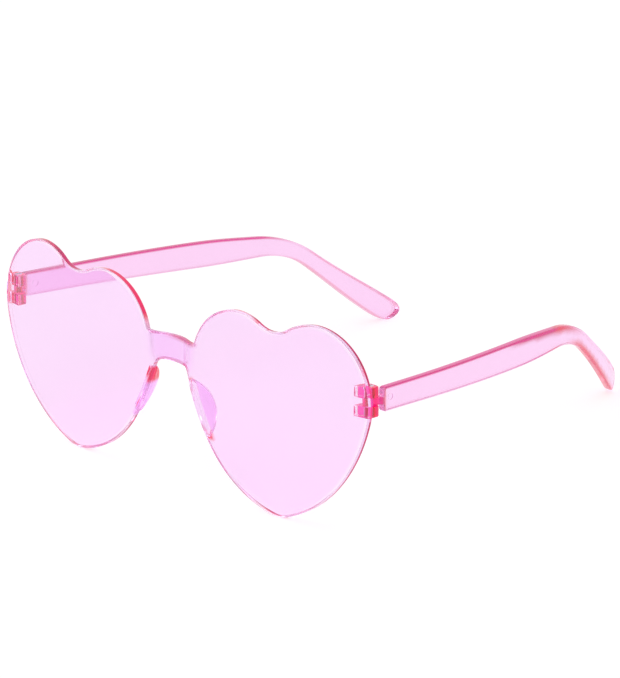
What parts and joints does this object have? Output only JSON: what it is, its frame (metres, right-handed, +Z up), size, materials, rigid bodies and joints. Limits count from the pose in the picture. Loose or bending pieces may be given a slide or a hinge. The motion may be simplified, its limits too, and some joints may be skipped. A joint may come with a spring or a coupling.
{
  "type": "sunglasses",
  "caption": "Rimless sunglasses with heart shaped lenses, a set back bridge, moulded nose pads and folding temples on small hinge screws.",
  "frame": {"origin": "on the resting plane, on the mid plane, under the middle of the bounding box, with the glasses standing open on the heart tips and temple tips", "axes": "+X from the wearer's right lens to the left one across the front, +Y from the front back to the temple tips, +Z up; the front leans back by the resting angle"},
  "size_m": [0.1502, 0.1217, 0.0553],
  "materials": {
    "tinted_plastic": "clear tinted, polished",
    "screw_steel": "bright"
  },
  "bodies": {
    "front": {"front": "tinted_plastic", "hinge_screw_right": "screw_steel", "hinge_screw_left": "screw_steel"},
    "temple_right": {"temple_right": "tinted_plastic"},
    "temple_left": {"temple_left": "tinted_plastic"}
  },
  "joints": [
    {"name": "hinge_right", "type": "hinge", "parent": "front", "child": "temple_right", "pos_m": [0.072, -0.05038, 0.03724], "axis": [0, 0.1047, 0.9945], "range_deg": [0, 75]},
    {"name": "hinge_left", "type": "hinge", "parent": "front", "child": "temple_left", "pos_m": [-0.072, -0.05038, 0.03724], "axis": [0, -0.1047, -0.9945], "range_deg": [0, 70]}
  ]
}
